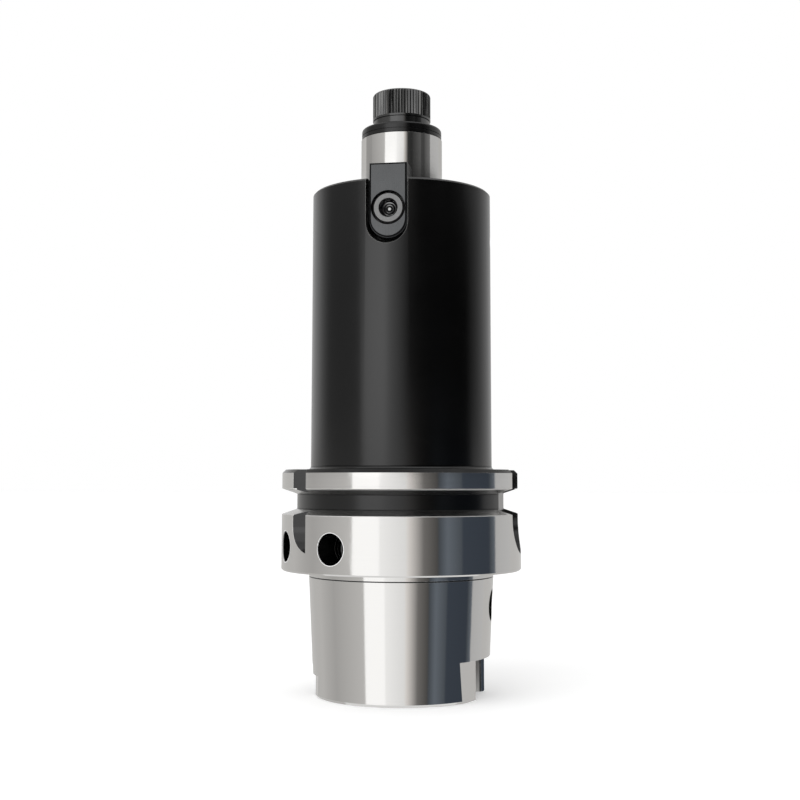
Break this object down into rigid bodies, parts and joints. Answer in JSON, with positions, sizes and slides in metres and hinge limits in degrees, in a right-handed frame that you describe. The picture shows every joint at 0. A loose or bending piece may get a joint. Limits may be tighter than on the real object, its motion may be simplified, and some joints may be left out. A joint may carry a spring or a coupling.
{
  "type": "shell mill holder",
  "caption": "Tool holder with a hollow 1:10 taper shank, flange, long round body and pilot spigot, for a shell mill held by drive keys and a screw.",
  "frame": {"origin": "on the holder's axis, in the plane of the hollow shank's open end, on which the holder stands", "axes": "+Z along the axis from the shank to the spigot, the drive keys at -Y and +Y, the gripper notches at -X and +X"},
  "size_m": [0.063, 0.063, 0.1604],
  "materials": {
    "body_steel": "black oxide steel, satin, with the taper, the flange rims and the spigot ground bright",
    "key_steel": "hardened steel, dark grey, satin",
    "screw_steel": "black screw steel, satin",
    "tube_steel": "plain turned steel",
    "seal_rubber": "matt black"
  },
  "bodies": {
    "holder": {"holder_body": "body_steel", "drive_key_front": "key_steel", "drive_key_rear": "key_steel", "key_screw_front": "screw_steel", "key_screw_rear": "screw_steel", "coolant_ring_nut": "tube_steel", "coolant_plug_right": "screw_steel", "coolant_plug_left": "screw_steel"},
    "screw": {"retaining_screw": "screw_steel"},
    "tube": {"coolant_tube": "tube_steel", "seal_ring_upper": "seal_rubber", "seal_ring_lower": "seal_rubber"}
  },
  "joints": [
    {"name": "retaining_screw_travel", "type": "slide", "parent": "holder", "child": "screw", "axis": [0, 0, 1], "range_m": [0, 0.018]},
    {"name": "coolant_tube_tilt", "type": "hinge", "parent": "holder", "child": "tube", "pos_m": [0, 0, 0.047], "axis": [1, 0, 0], "range_deg": [-1, 1]}
  ]
}
